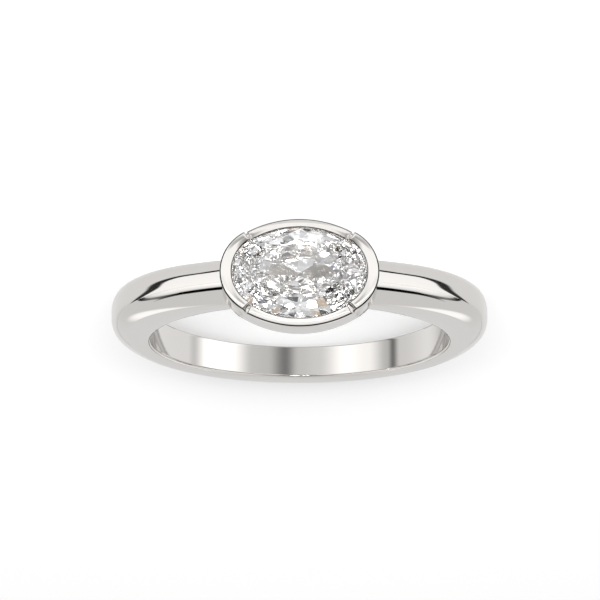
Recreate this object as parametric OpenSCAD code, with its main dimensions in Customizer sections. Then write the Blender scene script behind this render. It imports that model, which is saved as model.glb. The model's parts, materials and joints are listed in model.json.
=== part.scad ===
/* [Finger hole] */
// Inside diameter of the band
bore_d = 16.5; // [16:0.1:17]
// Small bevel where the inside meets the flat sides
bore_bevel = 0.12; // [0.08:0.01:0.2]

/* [Band] */
// Width of the band behind the finger
band_w_back = 1.88; // [1.8:0.02:2.2]
// Width of the band at the head
band_w_head = 2.52; // [2.3:0.02:2.7]
// Radius of the rounded outside edges
edge_r = 0.85; // [0.6:0.05:0.9]
// Height of the crest over the finger hole's centre, under the head
crest_head = 10.12; // [10.08:0.02:10.24]
// Outside radius across the head
arc_head_r = 16.6; // [16.2:0.1:17]
// Outside radius round each shoulder
arc_shoulder_r = 6.7; // [6.4:0.1:7]
// Outside radius down each side
arc_side_r = 12.5; // [12.1:0.1:12.9]

/* [Bezel] */
// Radius of the bezel's two ends
bezel_end_r = 2.45; // [2.4:0.05:2.5]
// Radius of the bezel's two long walls
bezel_side_r = 5.8; // [5.8:0.05:5.9]
// Height of the bezel's underside over the finger hole's centre
bezel_base = 9.05; // [8.95:0.05:9.2]
// Height of the two long walls' rims over the finger hole's centre
wall_top = 10.8; // [10.74:0.02:10.86]
// How far the two end caps stand over the long walls
cap_rise = 0.22; // [0.16:0.02:0.3]
// Angle from the middle of a long wall to its notches
notch_angle = 29.6; // [28:0.2:31]
// Width of the four notches
notch_w = 0.17; // [0.1:0.01:0.25]
// Depth of the notches under the long walls' rims
notch_depth = 0.2; // [0.15:0.01:0.22]

/* [Stone] */
// Half length of the stone
stone_a = 3.65; // [3.62:0.01:3.66]
// Half width of the stone
stone_b = 2.55; // [2.5:0.01:2.56]
// Height of the stone's crown over its girdle
crown_h = 0.66; // [0.55:0.01:0.75]
// Depth of the stone under its girdle
pavilion_h = 2; // [1.85:0.01:2.02]
// Thickness of the girdle
girdle_h = 0.08; // [0.05:0.01:0.1]
// Table size as a share of the stone's size
table_share = 0.58; // [0.54:0.01:0.62]
// Small clearance between the stone and its seat
stone_gap = 0.05; // [0.04:0.01:0.07]

/* [Hidden] */
$fn = 90;

bore_r = bore_d / 2;

// The crest runs through tangent arcs, met along these directions: across the finger, then to the head
meet_head = [0.352, 0.936];
meet_shoulder = [0.96, 0.28];
meet_side = [0.8, -0.6];
angle_head = atan2(meet_head[0], meet_head[1]);
angle_shoulder = atan2(meet_shoulder[0], meet_shoulder[1]);
angle_side = atan2(meet_side[0], meet_side[1]);

// Arc centres, across the finger and towards the head
head_c = [0, crest_head - arc_head_r];
shoulder_c = head_c + (arc_head_r - arc_shoulder_r) * meet_head;
side_c = shoulder_c + (arc_shoulder_r - arc_side_r) * meet_shoulder;
arc_back_r = arc_side_r + side_c[0] / meet_side[0];
back_c = side_c + (arc_side_r - arc_back_r) * meet_side;
crest_back = arc_back_r - back_c[1];
oversweep = 5;
wedge_reach = 20;
clear_reach = 15;

// The flat sides lean together towards the back, over a length of two taper arms
taper_arm = 10;
half_mid = (band_w_head + band_w_back) / 4;
taper = asin((band_w_head - band_w_back) / 4 / taper_arm);
band_depth = 3.4;
under_mid = 0.4;
bevel_over = 0.5;
section_reach = 3;

// Bezel outline: two end arcs and two side arcs, met along this direction from their centres
meet_oval = [0.5376, 0.8432];
oval_turn = atan(meet_oval[0] / meet_oval[1]);
end_reach = 5;
side_reach = 8;
bezel_step = (bezel_side_r - bezel_end_r) * meet_oval;
bezel_b = bezel_side_r - bezel_step[1];
rim_bevel = 0.08;
base_bevel = 0.06;
cap_top = wall_top + cap_rise;
step_in = 1.1;
step_out = 0.5;

// Hollow under the stone: seat, lip and the cone down to the open back
girdle_top = 10.42;
seat_radii = 2.9;
seat_step = seat_radii * meet_oval;
seat_end_r = stone_a + stone_gap - seat_step[0];
seat_side_r = seat_end_r + seat_radii;
lip_in = 0.15;
lip_rise = 0.14;
rim_in = 0.08;
throat_in = 1.88;
throat_top = 8.81;
seat_floor = girdle_top - girdle_h - 0.03;
seat_roof = girdle_top + 0.04;
hollow_base = bore_r - 1.5;
hollow_top = cap_top + 0.2;
rim_flare = 0.02;
core_over = 0.1;

// Lying pose: the bezel's underside and the back of the band touch the surface
edge_n = (crest_back - edge_r) * cos(taper) + (half_mid - edge_r) * sin(taper);
edge_f = (half_mid - edge_r) * cos(taper) - (crest_back - edge_r) * sin(taper);
reach_n = bezel_base + base_bevel + edge_n;
reach_f = bezel_b - edge_f;
lean = acos(edge_r / norm([reach_n, reach_f])) - atan(reach_n / reach_f);
lift = bezel_b * cos(lean) - (bezel_base + base_bevel) * sin(lean);
cap_corner_f = 2.07;
front_y = -cap_top * cos(lean) - cap_corner_f * sin(lean);
back_y = edge_n * cos(lean) + edge_f * sin(lean) + edge_r;
centre_y = (front_y + back_y) / 2;

// Facet layout of the stone on a unit circle
facet_step = 22.5;
star_share = 0.5;
lower_share = 0.77;
table_edge = table_share * cos(facet_step);
star_r = table_edge + star_share * (1 - table_edge);
star_z = crown_h * (1 - star_r * cos(facet_step)) / (1 - table_share);
lower_r = 1 - lower_share;
lower_z = -girdle_h - pavilion_h * (1 - lower_r * cos(facet_step));

module lying()
  translate([0, -centre_y, lift])
    rotate([-lean, 0, 0])
      children();

module head_up()
  rotate([90, 0, 0])
    children();

// One half of the band's section: flat crest, rounded edge and flat side
module edge_section(crest)
  difference() {
    translate([crest - band_depth, -under_mid])
      square([band_depth, half_mid + under_mid]);
    difference() {
      translate([crest - edge_r, half_mid - edge_r])
        square([edge_r + 1, edge_r + 1]);
      translate([crest - edge_r, half_mid - edge_r])
        circle(r = edge_r);
    }
  }

// The section swept about an arc centre, trimmed between two directions
module sweep(centre, radius, from, to, low, high)
  intersection() {
    translate([centre[0], -centre[1], 0])
      rotate_extrude(angle = to - from + 2 * oversweep, start = from - oversweep - 90)
        edge_section(radius);
    translate([0, 0, -section_reach])
      linear_extrude(height = 2 * section_reach)
        polygon([
          [centre[0], -centre[1]],
          [centre[0] + wedge_reach * low[0], -centre[1] - wedge_reach * low[1]],
          [centre[0] + wedge_reach * high[0], -centre[1] - wedge_reach * high[1]]
        ]);
  }

function flip(v) = [-v[0], v[1]];

module shoulder_and_side() {
  sweep(shoulder_c, arc_shoulder_r, angle_head, angle_shoulder, meet_head, meet_shoulder);
  sweep(side_c, arc_side_r, angle_shoulder, angle_side, meet_shoulder, meet_side);
}

module half_band()
  difference() {
    rotate([-taper, 0, 0])
      difference() {
        union() {
          sweep(head_c, arc_head_r, -angle_head, angle_head, flip(meet_head), meet_head);
          sweep(back_c, arc_back_r, angle_side, 360 - angle_side, meet_side, flip(meet_side));
          shoulder_and_side();
          mirror([1, 0, 0])
            shoulder_and_side();
        }
        translate([0, 0, half_mid - bore_bevel - bevel_over])
          cylinder(h = 3 * bevel_over, r1 = bore_r - bevel_over, r2 = bore_r + 2 * bevel_over);
      }
    translate([-clear_reach, -clear_reach, -2])
      cube([2 * clear_reach, 2 * clear_reach, 2]);
  }

module band_blank() {
  half_band();
  mirror([0, 0, 1])
    half_band();
}

// Bezel wall section from the end arc's centre outwards
module bezel_section(inner, outer)
  polygon([
    [inner, bezel_base],
    [outer - base_bevel, bezel_base],
    [outer, bezel_base + base_bevel],
    [outer, cap_top - rim_bevel],
    [outer - rim_bevel, cap_top],
    [inner, cap_top]
  ]);

// One end and one long side of an oval ring, trimmed where their arcs meet
module oval_end(step)
  intersection() {
    translate([step[0], 0, 0])
      rotate_extrude(angle = 180 - 2 * (oval_turn - oversweep), start = oval_turn - oversweep - 90)
        children();
    linear_extrude(height = clear_reach)
      polygon([
        [step[0], 0],
        [step[0] + end_reach * meet_oval[0], -end_reach * meet_oval[1]],
        [step[0] + end_reach * meet_oval[0], end_reach * meet_oval[1]]
      ]);
  }

module oval_side(step)
  intersection() {
    translate([0, -step[1], 0])
      rotate_extrude(angle = 2 * (oval_turn + oversweep), start = 90 - oval_turn - oversweep)
        children();
    linear_extrude(height = clear_reach)
      polygon([
        [0, -step[1]],
        [side_reach * meet_oval[0], side_reach * meet_oval[1] - step[1]],
        [-side_reach * meet_oval[0], side_reach * meet_oval[1] - step[1]]
      ]);
  }

module bezel_blank() {
  oval_end(bezel_step)
    bezel_section(0, bezel_end_r);
  oval_side(bezel_step)
    bezel_section(bezel_side_r - bezel_end_r, bezel_side_r);
  mirror([1, 0, 0])
    oval_end(bezel_step)
      bezel_section(0, bezel_end_r);
  mirror([0, 1, 0])
    oval_side(bezel_step)
      bezel_section(bezel_side_r - bezel_end_r, bezel_side_r);
}

// Hollow's section: open throat, cone, seat, lip and the flare up to the rim
module hollow_section(inner, outer)
  polygon([
    [inner, hollow_base],
    [outer - throat_in, hollow_base],
    [outer - throat_in, throat_top],
    [outer, seat_floor],
    [outer, seat_roof],
    [outer - lip_in, seat_roof + lip_rise],
    [outer - rim_in, cap_top],
    [outer - rim_in + rim_flare, hollow_top],
    [inner, hollow_top]
  ]);

module hollow_core()
  translate([0, 0, hollow_base])
    linear_extrude(height = hollow_top - hollow_base)
      intersection() {
        translate([0, -seat_step[1]])
          circle(r = seat_radii + core_over);
        translate([0, seat_step[1]])
          circle(r = seat_radii + core_over);
      }

module hollow() {
  hollow_core();
  oval_end(seat_step)
    hollow_section(0, seat_end_r);
  oval_side(seat_step)
    hollow_section(seat_radii, seat_side_r);
  mirror([1, 0, 0])
    oval_end(seat_step)
      hollow_section(0, seat_end_r);
  mirror([0, 1, 0])
    oval_side(seat_step)
      hollow_section(seat_radii, seat_side_r);
}

// Step down from the caps to one long wall, with a notch at each end
module wall_step()
  translate([0, -bezel_step[1], 0]) {
    rotate_extrude(angle = 2 * notch_angle, start = 90 - notch_angle)
      translate([bezel_side_r - step_in, wall_top])
        square([step_in + step_out, 1]);
    for (side = [-1, 1])
      rotate([0, 0, side * notch_angle])
        translate([-notch_w / 2, bezel_side_r - step_in, wall_top - notch_depth])
          cube([notch_w, step_in + step_out, 1]);
  }

module band_with_bezel()
  color([0.82, 0.81, 0.79])
    lying()
      difference() {
        union() {
          band_blank();
          head_up()
            bezel_blank();
        }
        translate([0, 0, -section_reach])
          cylinder(h = 2 * section_reach, r = bore_r);
        head_up() {
          hollow();
          wall_step();
          mirror([0, 1, 0])
            wall_step();
        }
      }

// A point of the stone at a share of its size, at a facet angle and a height
function gem(share, angle, z) = [
  stone_a * share * cos(angle),
  stone_b * share * sin(angle),
  girdle_top + z
];

// Rings of points: table, star tips, girdle top, girdle bottom, lower tips and the culet
gem_points = concat(
  [for (i = [0:7]) gem(table_share, 2 * facet_step * i, crown_h)],
  [for (i = [0:7]) gem(star_r, 2 * facet_step * (i + 0.5), star_z)],
  [for (i = [0:15]) gem(1, facet_step * i, 0)],
  [for (i = [0:15]) gem(1, facet_step * i, -girdle_h)],
  [for (i = [0:7]) gem(lower_r, 2 * facet_step * (i + 0.5), lower_z)],
  [gem(0, 0, -girdle_h - pavilion_h)]
);

// Where each ring of points starts
star_0 = 8;
top_0 = 16;
bottom_0 = 32;
lower_0 = 48;
culet = 56;

gem_faces = concat(
  [[for (i = [7:-1:0]) i]],
  [for (i = [0:7]) [i, (i + 1) % 8, star_0 + i]],
  [for (i = [0:7]) [i, star_0 + i, top_0 + 2 * i, star_0 + (i + 7) % 8]],
  [for (i = [0:7]) [star_0 + i, top_0 + 2 * i + 1, top_0 + 2 * i]],
  [for (i = [0:7]) [star_0 + i, top_0 + (2 * i + 2) % 16, top_0 + 2 * i + 1]],
  [for (i = [0:15]) [top_0 + i, top_0 + (i + 1) % 16, bottom_0 + (i + 1) % 16, bottom_0 + i]],
  [for (i = [0:7]) [lower_0 + i, bottom_0 + 2 * i, bottom_0 + 2 * i + 1]],
  [for (i = [0:7]) [lower_0 + i, bottom_0 + 2 * i + 1, bottom_0 + (2 * i + 2) % 16]],
  [for (i = [0:7]) [culet, lower_0 + (i + 7) % 8, bottom_0 + 2 * i, lower_0 + i]]
);

module oval_stone()
  color([0.85, 0.88, 0.92])
    lying()
      head_up()
        polyhedron(points = gem_points, faces = gem_faces);

band_with_bezel();
oval_stone();
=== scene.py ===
import json
import math
import random

import bmesh
import bpy
from bpy.props import FloatProperty, FloatVectorProperty, IntProperty, PointerProperty
from mathutils import Matrix, Vector


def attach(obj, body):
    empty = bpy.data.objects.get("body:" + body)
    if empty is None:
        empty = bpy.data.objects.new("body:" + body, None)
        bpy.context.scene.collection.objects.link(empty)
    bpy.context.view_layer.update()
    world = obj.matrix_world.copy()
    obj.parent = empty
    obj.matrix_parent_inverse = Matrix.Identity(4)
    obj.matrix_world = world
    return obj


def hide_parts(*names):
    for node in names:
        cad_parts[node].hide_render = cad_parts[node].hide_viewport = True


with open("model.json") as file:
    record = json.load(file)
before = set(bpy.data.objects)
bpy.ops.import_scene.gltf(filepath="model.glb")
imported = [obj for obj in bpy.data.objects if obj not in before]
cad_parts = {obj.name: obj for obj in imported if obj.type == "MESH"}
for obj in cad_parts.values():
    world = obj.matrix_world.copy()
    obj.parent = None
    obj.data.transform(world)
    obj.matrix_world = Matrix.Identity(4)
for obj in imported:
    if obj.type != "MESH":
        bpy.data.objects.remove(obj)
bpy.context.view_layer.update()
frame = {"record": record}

bl_info = {
    "name": "Oval Stone Ring",
    "version": (1, 0, 0),
    "blender": (4, 5, 0),
    "location": "3D View > Sidebar > Ring",
    "description": "Builds a polished ring with an oval stone in a split bezel",
    "category": "Add Mesh",
}

MM = 0.001

# The finger hole gives the ring's own frame: its centre, and how far its axis leans as the ring lies. The pieces
# are lifted by a micrometre, so that none of them goes under the floor.
HOLE = frame["record"]["mounts"][0]
CENTRE = Vector(HOLE["pos_m"])
LEAN = math.atan2(HOLE["axis"][1], HOLE["axis"][2])
LYING = Matrix.Translation(CENTRE + Vector((0, 0, 0.001 * MM))) @ Matrix.Rotation(-LEAN, 4, "X")
HEAD_UP = LYING @ Matrix.Rotation(math.pi / 2, 4, "X")

# Angles at which the crest of the band passes from one arc to the next, from the head to the back
CREST_TURNS = (0, 25, 80, 120, 180)

# Both ovals of the bezel change from side arc to end arc along this direction. A step is the distance between
# the centres of the two arcs, in millimetres.
MEET = Vector((0.5376, 0.8432))
MEET_ANGLE = math.atan2(MEET.x, MEET.y)
OUTER_STEP = 3.35
SEAT_STEP = 2.9
SEAT_RADIUS = 2.141

# Strips of the bezel's section that carry painted shade, thin dark lines painted into the metal along its edges,
# counted from the foot up
PAINTED_SHADE_STRIPS = (8, 13, 14)

# Tiers of facets from the table down: count, start, unevenness, and the outer and the inner point of the
# facet's profile, each a share of the outline and a height over the girdle in millimetres
STONE_TIERS = (
    (1, 0.0, 0.0, (1.0, 0.64), (0.0, 0.64)),
    (8, 0.5, 0.0, (1.0, 0.01), (0.62, 0.64)),
    (16, 0.5, 0.0, (1.0, 0.0), (0.8, 0.33)),
    (8, 0.0, 0.0, (0.8, 0.42), (0.57, 0.64)),
    (16, 0.5, 0.8, (1.0, -0.09), (0.8, -0.54)),
    (16, 0.0, 0.8, (0.8, -0.54), (0.4, -1.34)),
    (8, 0.5, 0.8, (0.5, -1.14), (0.0, -1.95)),
)

# An edge between two faces that meet at more than this angle is drawn sharp
SHARP = math.radians(24)


def size(name, description, default, low, high):
    """A length with its limits, all in millimetres"""
    return FloatProperty(
        name=name, description=description, default=default * MM, min=low * MM, max=high * MM,
        precision=3, subtype="DISTANCE", unit="LENGTH",
    )


def colour(name, description, default):
    return FloatVectorProperty(
        name=name, description=description, default=default, min=0.0, max=1.0, size=3, subtype="COLOR",
    )


class BandSizes(bpy.types.PropertyGroup):
    hole_radius: size("Hole radius", "Inside radius of the band", HOLE["dims"]["r_mm"], 8, 8.5)
    crest: size("Crest", "Height of the crest under the head", 10.14, 10.1, 10.2)
    head_radius: size("Head arc", "Radius of the crest across the head", 15.0, 14.5, 15.5)
    shoulder_radius: size("Shoulder arc", "Radius of the crest round a shoulder", 6.8, 6.5, 7)
    side_radius: size("Side arc", "Radius of the crest down a side", 13.5, 13, 14)
    half_width: size("Half width", "Half of the band's width at its middle", 1.098, 1.0, 1.1)
    dome: size("Dome height", "Height of the rounded outside", 0.85, 0.6, 0.9)
    edge_break: size("Edge break", "Bevel at the finger hole's edge", 0.12, 0.05, 0.2)
    widening: FloatProperty(
        name="Widening", description="Gain of half width for each unit of length towards the head",
        default=0.0157, min=0.0, max=0.016,
    )
    fullness: FloatProperty(
        name="Fullness", description="How square the swept dome is, with 2 for a true ellipse",
        default=2.2, min=1.8, max=3.0,
    )


class BezelSizes(bpy.types.PropertyGroup):
    end_radius: size("End radius", "Outside radius of the two ends", 2.45, 2.4, 2.5)
    seat_radius: size("Seat radius", "Radius of the seat at the two ends", SEAT_RADIUS, 2.1, 2.15)
    base: size("Base", "Height of the underside over the hole's centre", 9.05, 9.0, 9.1)
    cap_top: size("Cap top", "Height of the end caps over the hole's centre", 11.015, 10.9, 11.02)
    wall_top: size("Wall top", "Height of the long walls over the hole's centre", 10.7, 10.6, 10.85)
    notch_floor: size("Notch floor", "Height of the notches' floor", 10.5, 10.45, 10.65)


class StoneSizes(bpy.types.PropertyGroup):
    length: size("Length", "Length of the stone", 7.28, 7.2, 7.3)
    width: size("Width", "Width of the stone", 5.08, 5, 5.1)
    girdle: size("Girdle", "Height of the girdle's top over the hole's centre", 10.42, 10.4, 10.45)
    pattern: IntProperty(name="Pattern", description="Changes the small unevenness of the facets", default=3)


class FinishSettings(bpy.types.PropertyGroup):
    metal: colour("Metal", "Colour of the polished metal", (0.73, 0.71, 0.685))
    # Painted shade: the colour painted into the thin dark lines along the bezel's edges, in place of their dark
    # reflections
    edge: colour("Edge", "Colour of the thin dark edges along the bezel", (0.03, 0.028, 0.026))
    stone: colour("Stone", "Tint of the stone", (0.985, 0.99, 1.0))
    floor: colour("Floor", "Colour of the surface", (1.0, 1.0, 1.0))
    polish: FloatProperty(
        name="Polish", description="Roughness of the polished metal", default=0.045, min=0.0, max=1.0,
        subtype="FACTOR",
    )
    sweep_steps: IntProperty(
        name="Sweep steps", description="Mesh steps along half of the band", default=150, min=60, max=300,
    )


def clamp(value):
    return min(max(value, 0), 1)


def superpower(value, power):
    """A power that keeps the sign of its base"""
    return math.copysign(abs(value) ** power, value)


def whole(bm):
    return bm.verts[:] + bm.edges[:] + bm.faces[:]


def new_piece(name, bm, place, node=None):
    """Links a finished mesh as an object, and as a piece of the ring where it stands for a node"""
    bmesh.ops.transform(bm, matrix=place, verts=bm.verts)
    bmesh.ops.recalc_face_normals(bm, faces=bm.faces)
    for face in bm.faces:
        face.smooth = True
    for edge in bm.edges:
        edge.smooth = len(edge.link_faces) == 2 and edge.calc_face_angle() < SHARP
    mesh = bpy.data.meshes.new(name)
    bm.to_mesh(mesh)
    bm.free()
    piece = bpy.data.objects.new(name, mesh)
    bpy.context.scene.collection.objects.link(piece)
    if node:
        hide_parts(node)
        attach(piece, "root")
    return piece


def hand_polish():
    """A node group with the faint haze and the buffing marks of hand-polished metal"""
    group = bpy.data.node_groups.new("Hand polish", "ShaderNodeTree")
    for label, value in (("Polish", 0.05), ("Haze", 0.03)):
        group.interface.new_socket(
            name=label, in_out="INPUT", socket_type="NodeSocketFloat",
        ).default_value = value
    for label in ("Roughness", "Height", "Tone"):
        group.interface.new_socket(name=label, in_out="OUTPUT", socket_type="NodeSocketFloat")
    nodes, links = group.nodes, group.links
    start, end = nodes.new("NodeGroupInput"), nodes.new("NodeGroupOutput")
    place = nodes.new("ShaderNodeTexCoord")
    haze, marks = nodes.new("ShaderNodeTexNoise"), nodes.new("ShaderNodeTexNoise")
    for noise, scale, detail in ((haze, 420, 4), (marks, 2600, 2)):
        noise.inputs["Scale"].default_value = scale
        noise.inputs["Detail"].default_value = detail
        links.new(place.outputs["Object"], noise.inputs["Vector"])
    gain = nodes.new("ShaderNodeMath")
    gain.operation = "MULTIPLY_ADD"
    links.new(haze.outputs["Fac"], gain.inputs[0])
    links.new(start.outputs["Haze"], gain.inputs[1])
    links.new(start.outputs["Polish"], gain.inputs[2])
    links.new(gain.outputs[0], end.inputs["Roughness"])
    links.new(marks.outputs["Fac"], end.inputs["Height"])
    links.new(haze.outputs["Fac"], end.inputs["Tone"])
    return group


def polished_metal(name, colour, finish):
    """Metal with a mirror polish, a trace darker where the haze is thin"""
    material = bpy.data.materials.new(name)
    material.use_nodes = True
    nodes, links = material.node_tree.nodes, material.node_tree.links
    shader = nodes["Principled BSDF"]
    shader.inputs["Metallic"].default_value = 1.0
    polish = nodes.new("ShaderNodeGroup")
    polish.node_tree = bpy.data.node_groups.get("Hand polish") or hand_polish()
    polish.inputs["Polish"].default_value = finish.polish
    polish.inputs["Haze"].default_value = 0.03
    tone = nodes.new("ShaderNodeMix")
    tone.data_type = "RGBA"
    tone.inputs["A"].default_value = (*[0.97 * c for c in colour], 1)
    tone.inputs["B"].default_value = (*colour, 1)
    bump = nodes.new("ShaderNodeBump")
    bump.inputs["Strength"].default_value = 0.02
    bump.inputs["Distance"].default_value = 0.01 * MM
    links.new(polish.outputs["Tone"], tone.inputs["Factor"])
    links.new(tone.outputs["Result"], shader.inputs["Base Color"])
    links.new(polish.outputs["Roughness"], shader.inputs["Roughness"])
    links.new(polish.outputs["Height"], bump.inputs["Height"])
    links.new(bump.outputs["Normal"], shader.inputs["Normal"])


def cut_stone(finish):
    """Clear stone with a high refractive index"""
    material = bpy.data.materials.new("clear cut stone")
    material.use_nodes = True
    shader = material.node_tree.nodes["Principled BSDF"]
    shader.inputs["Base Color"].default_value = (*finish.stone, 1)
    shader.inputs["Roughness"].default_value = 0.0
    shader.inputs["Transmission Weight"].default_value = 1.0
    shader.inputs["IOR"].default_value = 2.2


def crest_arcs(sizes):
    """Centre, start and end angle of each arc that the crest follows, from the head to the back"""
    turns = [math.radians(turn) for turn in CREST_TURNS]
    radii = [sizes.head_radius, sizes.shoulder_radius, sizes.side_radius]
    centre = Vector((0, radii[0] - sizes.crest, 0))
    arcs = [(centre, turns[0], turns[1])]
    for i in (1, 2):
        way = Vector((math.sin(turns[i]), -math.cos(turns[i]), 0))
        centre = centre + (radii[i - 1] - radii[i]) * way
        arcs.append((centre, turns[i], turns[i + 1]))
    # The last arc has its centre on the ring's middle plane, so that its radius follows from the others
    way = Vector((math.sin(turns[3]), -math.cos(turns[3]), 0))
    arcs.append((centre - way * centre.x / way.x, turns[3], turns[4]))
    return arcs


def band_section(bm, sizes):
    """The band's closed section at the head: superellipse dome, flat sides and the inside"""
    bmesh.ops.create_circle(bm, segments=128, radius=1)
    bmesh.ops.delete(bm, geom=[v for v in bm.verts if v.co.y < -1e-6], context="VERTS")
    power = 2 / sizes.fullness
    top = -sizes.crest + sizes.dome
    for v in bm.verts:
        across, up = superpower(v.co.x, power), superpower(max(v.co.y, 0), power)
        v.co = Vector((0, top - sizes.dome * up, sizes.half_width * across))
    ends = sorted((v for v in bm.verts if len(v.link_edges) == 1), key=lambda v: v.co.z)
    # Each side goes down to the inside, where the edge break takes it in by this share of its width
    corner = ((2.45, 0), (2.46, 0.1), (2.47, 0.3), (2.48, 0.6), (2.5, 1))
    inner = []
    for end in ends:
        for depth, share in corner:
            end = bmesh.ops.extrude_vert_indiv(bm, verts=[end])["verts"][0]
            end.co = Vector((0, top + depth * MM,
                             math.copysign(sizes.half_width - share * sizes.edge_break, end.co.z)))
        inner.append(end)
    bottom = bm.edges.new(inner)
    sides = [e for e in bm.edges if abs(e.verts[0].co.y - e.verts[1].co.y) > MM]
    bmesh.ops.subdivide_edges(bm, edges=[bottom], cuts=24)
    bmesh.ops.subdivide_edges(bm, edges=sides, cuts=12)


def sweep_band(bm, sizes, steps):
    """Spins the section along the crest's arcs and mirrors the half ring"""
    geom = bm.verts[:] + bm.edges[:]
    for centre, low, high in crest_arcs(sizes):
        geom = bmesh.ops.spin(
            bm, geom=geom, cent=centre, axis=(0, 0, 1), angle=high - low,
            steps=max(8, round(steps * (high - low) / math.pi)), use_merge=False,
        )["geom_last"]
    bmesh.ops.remove_doubles(bm, verts=bm.verts, dist=1e-8)
    bmesh.ops.mirror(bm, geom=whole(bm), matrix=Matrix.Identity(4), merge_dist=1e-7, axis="X")


def shape_dome(bm, sizes):
    """Flattens the crest and squares the shoulders beside the head, where the sides meet the dome in a corner"""
    for v in bm.verts:
        out = v.co.xy.normalized()
        across = min(abs(v.co.z) / sizes.half_width, 1)
        if v.co.xy.length < sizes.hole_radius + 0.5 * MM or across > 0.99999:
            continue
        head = clamp((-out.y - 0.45) / 0.4)
        head = head * head * (3 - 2 * head)
        # The drop from the crest: the swept superellipse is taken off, and a flat crest with steep sides put on
        old = sizes.dome * (1 - (1 - across ** sizes.fullness) ** (1 / sizes.fullness))
        steep = across ** (9 + 13 * head)
        new = sizes.dome * ((0.76 + 0.16 * head) * across ** 3.1 + (0.24 - 0.16 * head) * steep)
        v.co.xy += (old - new) * out


def fit_to_finger(bm, sizes):
    """Brings the inside onto the round finger hole, crowns the sides and tapers the band's width"""
    edge = sizes.edge_break
    for v in bm.verts:
        reach = v.co.xy.length
        past = min(max(abs(v.co.z) - sizes.half_width + edge, 0), edge)
        inside = sizes.hole_radius + edge - math.sqrt(edge * edge - past * past)
        if reach < inside:
            v.co.xy = v.co.xy * inside / reach
        depth = clamp(1 - (reach - sizes.hole_radius) / MM)
        crown = 1 - 0.045 * depth ** 2
        v.co.z *= (sizes.half_width - sizes.widening * v.co.y) / sizes.half_width * crown


def oval_point(angle, offset, end_radius, step):
    """A point of a four-arc oval, by the angle of its normal from the long side's middle"""
    turn = abs((angle + math.pi / 2) % math.pi - math.pi / 2)
    normal = Vector((math.sin(turn), math.cos(turn)))
    if turn <= MEET_ANGLE:
        point = Vector((0, -step * MEET.y)) + (end_radius + step - offset) * normal
    else:
        point = Vector((step * MEET.x, 0)) + (end_radius - offset) * normal
    return Vector((math.copysign(point.x, math.sin(angle)), math.copysign(point.y, math.cos(angle))))


def bezel_rows(sizes, top):
    """The bezel wall's section from its foot up, over the rim and its bright inner bevel, and down to the seat

    Each row says whether it is on the inner oval, how many millimetres it is inside that oval, and its height.
    The bevel fades out where the wall comes down to a notch's floor.
    """
    lip = clamp((top - sizes.notch_floor) / (0.17 * MM))
    bevel_foot = sizes.notch_floor + 0.03 * MM * lip
    outside = ((0.06, 0), (0.018, 0.018), (0, 0.06), (0, 0.5), (0, 1.0), (0, 1.3))
    chamfer = ((0, 0.085), (0.003, 0.077), (0.01, 0.068), (0.068, 0.01), (0.077, 0.003), (0.085, 0))
    bevel = ((0.045, 0), (0.07, 0.015), (0.085, 0.035), (0.14, 0.13))
    hollow = ((0, 10.45), (0, 10.31), (0.34, 9.99), (0.73, 9.67), (1.13, 9.36))
    rows = [(0, inside, sizes.base + rise * MM) for inside, rise in outside]
    rows += [(0, inside, top - drop * MM) for inside, drop in chamfer]
    rows += [(0, 0.3, top - 0.012 * MM * lip)]
    rows += [(1, inside * lip, top - drop * MM * lip) for inside, drop in bevel]
    rows += [(1, 0.15 * lip, bevel_foot), (1, 0.09 * lip, bevel_foot - 0.045 * MM)]
    rows += [(1, inside, height * MM) for inside, height in hollow]
    rows += [(1, 1.54, sizes.base)]
    return rows


def bezel_columns(sizes):
    """Outer angle, inner angle and rim height along a quarter, from a long wall's middle to an end"""
    wall, cap, floor = sizes.wall_top, sizes.cap_top, sizes.notch_floor
    columns = [(27.8 * i / 14, 30.2 * i / 14, wall) for i in range(15)]
    columns += [(28.4, 30.7, wall - 0.01 * MM), (28.8, 31.1, wall - 0.05 * MM), (28.83, 31.12, floor)]
    columns += [(30.37, 31.87, floor), (30.4, 31.9, cap - 0.12 * MM), (30.75, 32.2, cap - 0.05 * MM)]
    columns += [(31.2, 32.6, cap - 0.012 * MM), (31.7, 33.1, cap)]
    columns += [(32.2 + 57.8 * i / 26, 33.6 + 56.4 * i / 26, cap) for i in range(27)]
    return columns


def wrap_bezel(bm, sizes):
    """Wraps a grid round both ovals and closes it into one solid ring"""
    quarter = bezel_columns(sizes)
    half = quarter + [(180 - a, 180 - b, top) for a, b, top in quarter[-2::-1]]
    ring = half + [(180 + a, 180 + b, top) for a, b, top in half[1:]]
    turns = len(ring) - 1
    count = len(bezel_rows(sizes, sizes.cap_top))
    bmesh.ops.create_grid(bm, x_segments=turns, y_segments=count, size=1)
    for f in bm.faces:
        middle = f.calc_center_median()
        strip = int((middle.y + 1) / 2 * count)
        top = ring[int((middle.x + 1) / 2 * turns)][2]
        # Painted shade: these strips take the second, nearly black metal, except where the rim comes down to a
        # notch's floor
        f.material_index = int(strip in PAINTED_SHADE_STRIPS and top != sizes.notch_floor)
    for v in bm.verts:
        outer_angle, inner_angle, top = ring[round((v.co.x + 1) / 2 * turns)]
        row = round((v.co.y + 1) / 2 * count) % count
        inner, offset, height = bezel_rows(sizes, top)[row]
        angle = math.radians(inner_angle if inner else outer_angle)
        radius, step = (sizes.seat_radius, SEAT_STEP) if inner else (sizes.end_radius, OUTER_STEP)
        v.co.xy = oval_point(angle, offset * MM, radius, step * MM)
        v.co.z = height
    bmesh.ops.remove_doubles(bm, verts=bm.verts, dist=1e-8)


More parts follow.
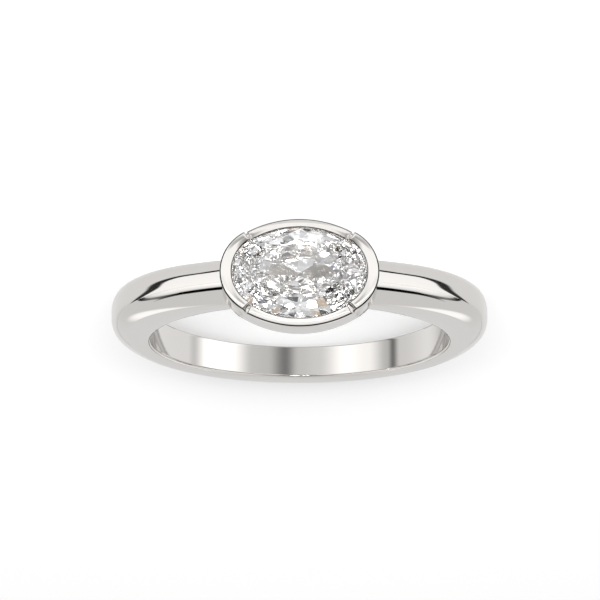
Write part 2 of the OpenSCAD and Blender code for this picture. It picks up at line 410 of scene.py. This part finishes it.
def throat(bm, sizes, clearance):
    """The tapering hollow under the stone, open to the finger hole, made a little wider by the clearance"""
    # How far inside the seat's oval the hollow's four levels are, and their heights
    levels = ((1.88, sizes.hole_radius - 1.5 * MM), (1.88, 8.81 * MM), (0, 10.31 * MM), (0, 10.6 * MM))
    segments = 96
    bmesh.ops.create_cone(bm, cap_ends=True, segments=segments, radius1=1, radius2=1, depth=3)
    for height in (-0.5, 0.5):
        bmesh.ops.bisect_plane(bm, geom=whole(bm), plane_co=(0, 0, height), plane_no=(0, 0, 1))
    for v in bm.verts:
        offset, height = levels[round(v.co.z + 1.5)]
        angle = math.atan2(v.co.x, v.co.y) + math.pi / segments
        v.co.xy = oval_point(angle, offset * MM - clearance, SEAT_RADIUS * MM, SEAT_STEP * MM)
        v.co.z = height


def cut_throat(context, band, sizes):
    """Cuts the hollow under the stone out of the band, and joins the corners that the cut leaves double

    The cut gives its parts in a changing order, so they are sorted along a slanted direction.
    """
    bm = bmesh.new()
    throat(bm, sizes, 0.02 * MM)
    cutter = new_piece("throat cutter", bm, HEAD_UP)
    cut = band.modifiers.new("throat", "BOOLEAN")
    cut.operation, cut.object, cut.solver = "DIFFERENCE", cutter, "EXACT"
    made = bpy.data.meshes.new_from_object(band.evaluated_get(context.evaluated_depsgraph_get()))
    band.modifiers.clear()
    bpy.data.objects.remove(cutter)
    bm = bmesh.new()
    bm.from_mesh(made)
    slant = Vector((1, 0.618, 0.414))
    bm.verts.sort(key=lambda v: v.co.dot(slant))
    bm.faces.sort(key=lambda f: f.calc_center_median().dot(slant))
    bmesh.ops.remove_doubles(bm, verts=bm.verts, dist=1e-7)
    bm.to_mesh(made)
    bm.free()
    band.data = made


class RING_OT_band(bpy.types.Operator):
    """Builds the tapered band with its squared shoulders"""
    bl_idname = "ring.band"
    bl_label = "Band"

    def execute(self, context):
        sizes = context.scene.band_sizes
        bm = bmesh.new()
        band_section(bm, sizes)
        sweep_band(bm, sizes, context.scene.finish_settings.sweep_steps)
        shape_dome(bm, sizes)
        fit_to_finger(bm, sizes)
        band = new_piece("band", bm, LYING, "band_with_bezel")
        band.data.materials.append(bpy.data.materials["polished white metal"])
        cut_throat(context, band, sizes)
        return {"FINISHED"}


class RING_OT_bezel(bpy.types.Operator):
    """Builds the bezel with its two end caps, two long walls and four notches"""
    bl_idname = "ring.bezel"
    bl_label = "Bezel"

    def execute(self, context):
        bm = bmesh.new()
        wrap_bezel(bm, context.scene.bezel_sizes)
        bezel = new_piece("bezel", bm, HEAD_UP, "band_with_bezel")
        bezel.data.materials.append(bpy.data.materials["polished white metal"])
        # The second slot holds the painted shade, the nearly black metal of the bezel's thin edge lines
        bezel.data.materials.append(bpy.data.materials["painted shade edge"])
        return {"FINISHED"}


def facet(bm, turn, outer, inner):
    """Cuts one flat facet through two points of the stone's profile, each a share of the outline and a height"""
    way = Vector((math.sin(turn), math.cos(turn), 0))
    up = 1 if outer[1] >= 0 else -1
    cut = bmesh.ops.bisect_plane(
        bm, geom=whole(bm), dist=1e-6, clear_outer=True,
        plane_co=way * outer[0] + Vector((0, 0, outer[1])),
        plane_no=way * abs(inner[1] - outer[1]) + Vector((0, 0, up * (outer[0] - inner[0]))),
    )["geom_cut"]
    edges = [part for part in cut if isinstance(part, bmesh.types.BMEdge)]
    if len(edges) > 2:
        bmesh.ops.contextual_create(bm, geom=edges)


class RING_OT_stone(bpy.types.Operator):
    """Cuts the oval stone facet by facet"""
    bl_idname = "ring.stone"
    bl_label = "Stone"

    def execute(self, context):
        sizes = context.scene.stone_sizes
        chance = random.Random(sizes.pattern)
        bm = bmesh.new()
        bmesh.ops.create_cone(bm, cap_ends=True, segments=64, radius1=1, radius2=1, depth=6)
        for count, start, jitter, outer, inner in STONE_TIERS:
            for i in range(count):
                turn = 2 * math.pi * (i + start) / count + math.radians(jitter * chance.uniform(-5, 5))
                facet(bm, turn, outer, (inner[0], inner[1] * (1 + 0.05 * jitter * chance.uniform(-1, 1))))
        bmesh.ops.scale(bm, vec=(sizes.length / 2, sizes.width / 2, MM), verts=bm.verts)
        bmesh.ops.translate(bm, vec=(0, 0, sizes.girdle), verts=bm.verts)
        stone = new_piece("stone", bm, HEAD_UP, "oval_stone")
        for polygon in stone.data.polygons:
            polygon.use_smooth = False
        stone.data.materials.append(bpy.data.materials["clear cut stone"])
        return {"FINISHED"}


class Chain:
    """Sets down the nodes of a shader, each fed by numbers or by the outputs of others"""

    def __init__(self, tree):
        self.nodes, self.links = tree.nodes, tree.links

    def feed(self, socket, value):
        if isinstance(value, bpy.types.NodeSocket):
            self.links.new(value, socket)
        else:
            socket.default_value = value

    def calc(self, operation, *values):
        node = self.nodes.new("ShaderNodeMath")
        node.operation = operation
        for socket, value in zip(node.inputs, values):
            self.feed(socket, value)
        return node.outputs[0]

    def over(self, value, start):
        """How far a value is over a start, or 0"""
        return self.calc("MAXIMUM", self.calc("SUBTRACT", value, start), 0.0)

    def length(self, a, b):
        return self.calc("SQRT", self.calc("ADD", self.calc("MULTIPLY", a, a), self.calc("MULTIPLY", b, b)))

    def split(self, vector):
        node = self.nodes.new("ShaderNodeSeparateXYZ")
        self.feed(node.inputs[0], vector)
        return node.outputs

    def levels(self, value, *stops, interpolation="EASE"):
        """A grey level, or a colour, that follows a value between 0 and 1 by stops of place and level"""
        node = self.nodes.new("ShaderNodeValToRGB")
        node.color_ramp.interpolation = interpolation
        for place, _ in stops[1:-1]:
            node.color_ramp.elements.new(place)
        for element, (place, level) in zip(node.color_ramp.elements, stops):
            element.position = place
            element.color = (*level, 1) if isinstance(level, tuple) else (level, level, level, 1)
        self.feed(node.inputs["Fac"], value)
        return node.outputs["Color"]

    def cells(self, where, scale):
        """A random number for each cell of a pattern"""
        pattern = self.nodes.new("ShaderNodeTexVoronoi")
        pattern.inputs["Scale"].default_value = scale
        self.feed(pattern.inputs["Vector"], where)
        parts = self.nodes.new("ShaderNodeSeparateColor")
        self.feed(parts.inputs[0], pattern.outputs["Color"])
        return parts.outputs[0]

    def mix(self, share, first, second):
        """A number between two others"""
        node = self.nodes.new("ShaderNodeMix")
        for label, value in (("Factor", share), ("A", first), ("B", second)):
            self.feed(node.inputs[label], value)
        return node.outputs["Result"]

    def blend(self, share, first, second):
        """A shader between two others"""
        node = self.nodes.new("ShaderNodeMixShader")
        for socket, value in zip(node.inputs, (share, first, second)):
            self.feed(socket, value)
        return node.outputs[0]


def dark_line(chain, side, y):
    """The floor's dark line, which the leaf on each shoulder mirrors as its lower border"""
    edge = chain.calc("MULTIPLY_ADD", chain.over(side, 8.5 * MM), 0.41,
                      chain.calc("MULTIPLY_ADD", side, -0.1, -11.6 * MM))
    width = chain.calc("MULTIPLY_ADD", chain.over(side, 12 * MM), 0.06,
                       chain.calc("MULTIPLY_ADD", side, 0.04, 0.12 * MM))
    begins = chain.calc("MINIMUM", chain.calc("MULTIPLY", chain.over(side, 2.7 * MM), 4 / MM), 1.0)
    width = chain.calc("MULTIPLY_ADD", width, begins, 0.001 * MM)
    across = chain.calc("DIVIDE", chain.calc("SUBTRACT", y, edge), width)
    return chain.levels(chain.calc("MULTIPLY_ADD", across, 0.05, 0.5),
                        (0.0, 1.1), (0.4, 1.1), (0.45, 0.02), (0.55, 0.02), (0.62, 0.8))


def soft_spots(chain, side, y):
    """Two pairs of soft darker spots in front, which the bezel's walls mirror"""
    spots = []
    for out, across, along, depth in ((3.3, 2, -16.5, 3), (3.6, 1.3, -44, 7)):
        away = chain.calc("DIVIDE", chain.calc("SUBTRACT", side, out * MM), across * MM)
        down = chain.calc("DIVIDE", chain.calc("SUBTRACT", y, along * MM), depth * MM)
        spots.append(chain.length(away, down))
    return chain.levels(chain.calc("MULTIPLY", chain.calc("MINIMUM", *spots), 0.5),
                        (0.0, 0.3), (0.25, 0.5), (0.6, 1.0))


def pale_surface(tone):
    """A pale, faintly glowing table

    The polished metal mirrors the studio's dark edges in it, and through the finger hole's floor it mirrors the
    world below. The stone shows patches of it.
    """
    material = bpy.data.materials.new("pale surface")
    material.use_nodes = True
    chain = Chain(material.node_tree)
    nodes = chain.nodes
    where = nodes.new("ShaderNodeTexCoord").outputs["Object"]
    x, y, _ = chain.split(where)
    side = chain.calc("ABSOLUTE", x)
    reach = chain.length(x, chain.calc("SUBTRACT", y, 0.3 * MM))
    spread = chain.calc("MULTIPLY", reach, 0.05 / MM)
    far = chain.levels(chain.calc("MULTIPLY", y, -20.0), (0.6, 1.0), (0.8, 0.85))
    outside = chain.calc("MULTIPLY", dark_line(chain, side, y), soft_spots(chain, side, y))
    # Painted shade: mirror rays see the floor darken to half in a thin ring just inside the finger hole's edge,
    # a contact shadow painted where the inner wall meets the floor
    foot = chain.levels(spread, (0.39, 1.0), (0.41, 0.5))
    mirrored = chain.mix(chain.calc("LESS_THAN", reach, 8.2 * MM), chain.calc("MULTIPLY", outside, far), foot)
    patches = chain.levels(chain.cells(where, 150.0), (0.0, 0.75), (0.5, 0.5), (0.65, 0.9), (0.85, 0.15),
                           interpolation="CONSTANT")
    rays = nodes.new("ShaderNodeLightPath").outputs
    # Painted light: for camera and diffuse rays the floor glows a quarter brighter within about 6 mm of the
    # finger hole's centre, fading out by 10 mm, which takes out the ring's shadow there
    plain = chain.levels(spread, (0.3, 1.25), (0.5, 1.0))
    seen = chain.mix(rays["Is Transmission Ray"], chain.mix(rays["Is Glossy Ray"], plain, mirrored), patches)
    shader = nodes["Principled BSDF"]
    shader.inputs["Roughness"].default_value = 0.9
    shader.inputs["Specular IOR Level"].default_value = 0.1
    shader.inputs["Emission Strength"].default_value = 0.45
    for label, share in (("Base Color", 0.5), ("Emission Color", 1.0)):
        tint = nodes.new("ShaderNodeVectorMath")
        tint.operation = "SCALE"
        tint.inputs[0].default_value = [share * c for c in tone]
        chain.feed(tint.inputs["Scale"], seen)
        chain.feed(shader.inputs[label], tint.outputs[0])
    clear = chain.calc("MULTIPLY", rays["Is Glossy Ray"], chain.calc("LESS_THAN", reach, 7.9 * MM))
    below = nodes.new("ShaderNodeBsdfTransparent")
    chain.feed(nodes["Material Output"].inputs["Surface"],
               chain.blend(clear, shader.outputs[0], below.outputs[0]))
    return material


def tent(chain, side, y, z):
    """A grey tent with a bright panel in front, a dark gap round the panel and two soft glows behind"""
    behind = chain.calc("ADD", y, 0.45)
    along = chain.calc("DIVIDE", chain.calc("MAXIMUM", behind, 0.0), 0.6)
    brow = chain.calc("MULTIPLY_ADD", chain.calc("MINIMUM", behind, 0.0), 0.45, 0.5)
    reach = chain.length(along, chain.calc("DIVIDE", z, brow))
    # In front the gap goes on as a dark sky
    front = chain.calc("MINIMUM", chain.calc("SUBTRACT", 0.25, y), chain.calc("SUBTRACT", 0.95, side))
    front = chain.calc("MINIMUM", front, chain.calc("SUBTRACT", 0.7, z))
    front = chain.calc("MINIMUM", chain.calc("MAXIMUM", chain.calc("MULTIPLY", front, 6.0), 0.0), 1.0)
    reach = chain.calc("SUBTRACT", reach, chain.calc("MULTIPLY", chain.over(reach, 1.0), front))
    panel = chain.levels(chain.calc("MULTIPLY", reach, 0.5),
                         (0.0, 1.35), (0.25, 1.15), (0.39, 0.8), (0.43, 0.0), (0.53, 0.0), (0.57, 0.8))
    fade = chain.levels(chain.calc("MULTIPLY_ADD", y, 0.5, 0.5),
                        (0.15, 0.0), (0.28, 0.28), (0.48, 0.3), (0.58, 0.0))
    fade = chain.calc("MULTIPLY", fade, chain.calc("SUBTRACT", 1.0, front))
    upward = chain.calc("MULTIPLY_ADD", y, 0.815, chain.calc("MULTIPLY", z, 0.525))
    glow = chain.levels(chain.calc("MULTIPLY_ADD", side, 0.25, upward), (0.955, 0.0), (0.995, 0.55))
    aside = chain.levels(side, (0.1, 0.0), (0.25, 1.0))
    return chain.calc("ADD", chain.calc("MAXIMUM", panel, fade), chain.calc("MULTIPLY", glow, aside))


def upright_bands(chain, x, y):
    """Soft bands round the compass, which the inside of the band mirrors"""
    turn = chain.calc("ARCTAN2", x, chain.calc("MULTIPLY", y, -1.0))
    return chain.levels(chain.calc("MULTIPLY_ADD", turn, 0.5 / math.pi, 0.5),
                        (0.06, 0.45), (0.1, 0.95), (0.23, 0.95), (0.25, 0.75), (0.29, 1.6), (0.35, 1.5),
                        (0.4, 0.75), (0.43, 0.7), (0.47, 0.25), (0.5, 0.75), (0.54, 0.85), (0.6, 1.5),
                        (0.65, 1.3), (0.7, 0.65), (0.715, 0.2), (0.735, 0.82), (0.83, 1.0), (0.93, 0.6))


def studio_world():
    """A plain pale world that the metal mirrors as a studio and the stone breaks up into sparkle"""
    world = bpy.data.worlds.new("studio")
    world.use_nodes = True
    chain = Chain(world.node_tree)
    nodes = chain.nodes
    way = nodes.new("ShaderNodeTexCoord").outputs["Generated"]
    x, y, z = chain.split(way)
    light = chain.mix(chain.calc("LESS_THAN", z, 0.0), tent(chain, chain.calc("ABSOLUTE", x), y, z),
                      upright_bands(chain, x, y))
    mirrored = nodes["Background"]
    mirrored.inputs["Color"].default_value = (1, 1, 1, 1)
    chain.feed(mirrored.inputs["Strength"], light)
    warm, blue = (0.95, 0.74, 0.55), (0.12, 0.22, 0.5)
    sparkle = nodes.new("ShaderNodeBackground")
    sparkle.inputs["Strength"].default_value = 0.6
    fire = chain.levels(chain.cells(way, 3.0), (0.0, 1.0), (0.45, 0.6), (0.6, warm), (0.72, blue), (0.77, 0.03),
                        interpolation="CONSTANT")
    chain.feed(sparkle.inputs["Color"], fire)
    plain = nodes.new("ShaderNodeBackground")
    plain.inputs["Color"].default_value = (0.6, 0.6, 0.6, 1)
    rays = nodes.new("ShaderNodeLightPath").outputs
    special = chain.blend(rays["Is Transmission Ray"], mirrored.outputs[0], sparkle.outputs[0])
    direct = chain.calc("MAXIMUM", rays["Is Camera Ray"], rays["Is Diffuse Ray"])
    chain.feed(nodes["World Output"].inputs["Surface"], chain.blend(direct, special, plain.outputs[0]))
    return world


def add_floor(finish):
    bm = bmesh.new()
    bmesh.ops.create_grid(bm, x_segments=1, y_segments=1, size=0.5)
    bmesh.ops.translate(bm, vec=(0, 0.3, 0), verts=bm.verts)
    mesh = bpy.data.meshes.new("surface")
    bm.to_mesh(mesh)
    bm.free()
    plate = bpy.data.objects.new("surface", mesh)
    bpy.context.scene.collection.objects.link(plate)
    plate.data.materials.append(pale_surface(finish.floor))


def add_key_light():
    """A rectangular soft light in front, turned towards the ring"""
    light = bpy.data.lights.new("key", "AREA")
    light.shape = "RECTANGLE"
    light.size, light.size_y, light.energy = 0.28, 0.09, 3.4
    place, target = Vector((0, -0.3, 0.07)), Vector((0, 0, 0.005))
    lamp = bpy.data.objects.new("key", light)
    lamp.location = place
    lamp.rotation_mode = "QUATERNION"
    lamp.rotation_quaternion = (target - place).to_track_quat("-Z", "Y")
    lamp.visible_glossy = False
    bpy.context.scene.collection.objects.link(lamp)


def add_camera(scene):
    """The photograph's camera: its view of the ring, turned over because the ring lies on its side"""
    camera = bpy.data.objects.new("camera", bpy.data.cameras.new("camera"))
    scene.collection.objects.link(camera)
    tilt = math.radians(15.04) + LEAN
    distance = 0.24
    back = Vector((0, -math.cos(tilt), math.sin(tilt)))
    down = Vector((0, -math.sin(tilt), -math.cos(tilt)))
    turn = Matrix((down.cross(back), down, back)).transposed()
    camera.matrix_world = Matrix.Translation(CENTRE + distance * back) @ turn.to_4x4()
    camera.data.lens = 259.3
    camera.data.shift_x, camera.data.shift_y = 0.0009, 0.0408
    camera.data.clip_start, camera.data.clip_end = 0.01, 10
    scene.camera = camera


class RING_OT_stage(bpy.types.Operator):
    """Sets the pale surface, the soft light, the world and the camera"""
    bl_idname = "ring.stage"
    bl_label = "Stage"

    def execute(self, context):
        scene = context.scene
        add_floor(scene.finish_settings)
        add_key_light()
        add_camera(scene)
        scene.world = studio_world()
        scene.view_settings.view_transform = "Standard"
        scene.cycles.use_denoising = True
        # Light is lost inside the stone with fewer bounces
        scene.cycles.max_bounces = scene.cycles.glossy_bounces = scene.cycles.transmission_bounces = 32
        return {"FINISHED"}


class RING_PT_panel(bpy.types.Panel):
    bl_label = "Oval Stone Ring"
    bl_space_type = "VIEW_3D"
    bl_region_type = "UI"
    bl_category = "Ring"

    def draw(self, context):
        for name, label, _ in SETTINGS:
            group = getattr(context.scene, name)
            box = self.layout.box()
            box.label(text=label)
            for entry in group.bl_rna.properties.keys():
                if entry not in {"rna_type", "name"}:
                    box.prop(group, entry)
        for operator in OPERATORS:
            self.layout.operator(operator.bl_idname)


SETTINGS = (
    ("band_sizes", "Band", BandSizes),
    ("bezel_sizes", "Bezel", BezelSizes),
    ("stone_sizes", "Stone", StoneSizes),
    ("finish_settings", "Finish", FinishSettings),
)
OPERATORS = (RING_OT_band, RING_OT_bezel, RING_OT_stone, RING_OT_stage)
CLASSES = (*[group for _, _, group in SETTINGS], *OPERATORS, RING_PT_panel)


def register():
    for cls in CLASSES:
        bpy.utils.register_class(cls)
    for name, _, group in SETTINGS:
        setattr(bpy.types.Scene, name, PointerProperty(type=group))


def unregister():
    for name, _, _ in SETTINGS:
        delattr(bpy.types.Scene, name)
    for cls in reversed(CLASSES):
        bpy.utils.unregister_class(cls)


def main():
    register()
    finish = bpy.context.scene.finish_settings
    polished_metal("polished white metal", finish.metal, finish)
    # Painted shade: a nearly black copy of the metal for the thin lines along the bezel's edges
    polished_metal("painted shade edge", finish.edge, finish)
    cut_stone(finish)
    bpy.ops.ring.band()
    bpy.ops.ring.bezel()
    bpy.ops.ring.stone()
    bpy.ops.ring.stage()


if __name__ == "__main__":
    main()
